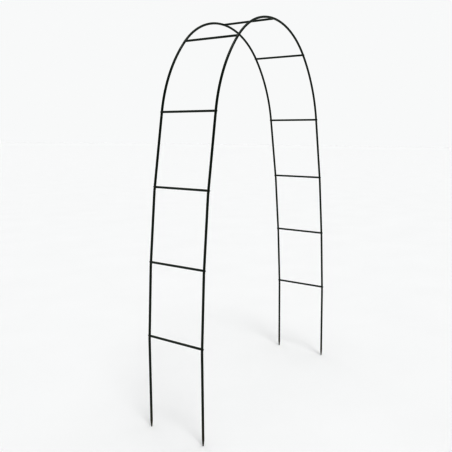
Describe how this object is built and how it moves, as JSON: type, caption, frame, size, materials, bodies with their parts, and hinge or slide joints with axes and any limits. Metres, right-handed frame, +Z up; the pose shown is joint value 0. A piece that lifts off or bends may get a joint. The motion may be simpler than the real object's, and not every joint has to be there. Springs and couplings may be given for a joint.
{
  "type": "garden arch",
  "caption": "Free-standing metal trellis arch: two bent tube hoops joined by spaced rungs, forming a walk-through frame for climbing plants.",
  "frame": {"origin": "midway between the four legs, at the level of the tips of their spikes", "axes": "+Z up, +X to the right across the walkway, +Y from the front hoop to the rear hoop"},
  "size_m": [1.4, 0.4038, 2.4],
  "materials": {
    "coated_steel": "satin dark green powder coat",
    "screw_steel": "blackened, semi-gloss"
  },
  "bodies": {
    "root": {"front_left_foot": "coated_steel", "front_left_lower_leg": "coated_steel", "front_left_middle_leg": "coated_steel", "front_left_upper_leg": "coated_steel", "front_left_shoulder": "coated_steel", "front_left_crown": "coated_steel", "front_right_foot": "coated_steel", "front_right_lower_leg": "coated_steel", "front_right_middle_leg": "coated_steel", "front_right_upper_leg": "coated_steel", "front_right_shoulder": "coated_steel", "front_right_crown": "coated_steel", "rear_left_foot": "coated_steel", "rear_left_lower_leg": "coated_steel", "rear_left_middle_leg": "coated_steel", "rear_left_upper_leg": "coated_steel", "rear_left_shoulder": "coated_steel", "rear_left_crown": "coated_steel", "rear_right_foot": "coated_steel", "rear_right_lower_leg": "coated_steel", "rear_right_middle_leg": "coated_steel", "rear_right_upper_leg": "coated_steel", "rear_right_shoulder": "coated_steel", "rear_right_crown": "coated_steel", "left_rung_1": "coated_steel", "left_rung_2": "coated_steel", "left_rung_3": "coated_steel", "left_rung_4": "coated_steel", "left_rung_5": "coated_steel", "right_rung_1": "coated_steel", "right_rung_2": "coated_steel", "right_rung_3": "coated_steel", "right_rung_4": "coated_steel", "right_rung_5": "coated_steel", "ridge_rung": "coated_steel", "front_left_1_screw": "screw_steel", "front_left_2_screw": "screw_steel", "front_left_3_screw": "screw_steel", "front_left_4_screw": "screw_steel", "front_left_5_screw": "screw_steel", "front_right_1_screw": "screw_steel", "front_right_2_screw": "screw_steel", "front_right_3_screw": "screw_steel", "front_right_4_screw": "screw_steel", "front_right_5_screw": "screw_steel", "front_ridge_screw": "screw_steel", "rear_left_1_screw": "screw_steel", "rear_left_2_screw": "screw_steel", "rear_left_3_screw": "screw_steel", "rear_left_4_screw": "screw_steel", "rear_left_5_screw": "screw_steel", "rear_right_1_screw": "screw_steel", "rear_right_2_screw": "screw_steel", "rear_right_3_screw": "screw_steel", "rear_right_4_screw": "screw_steel", "rear_right_5_screw": "screw_steel", "rear_ridge_screw": "screw_steel"}
  },
  "joints": []
}
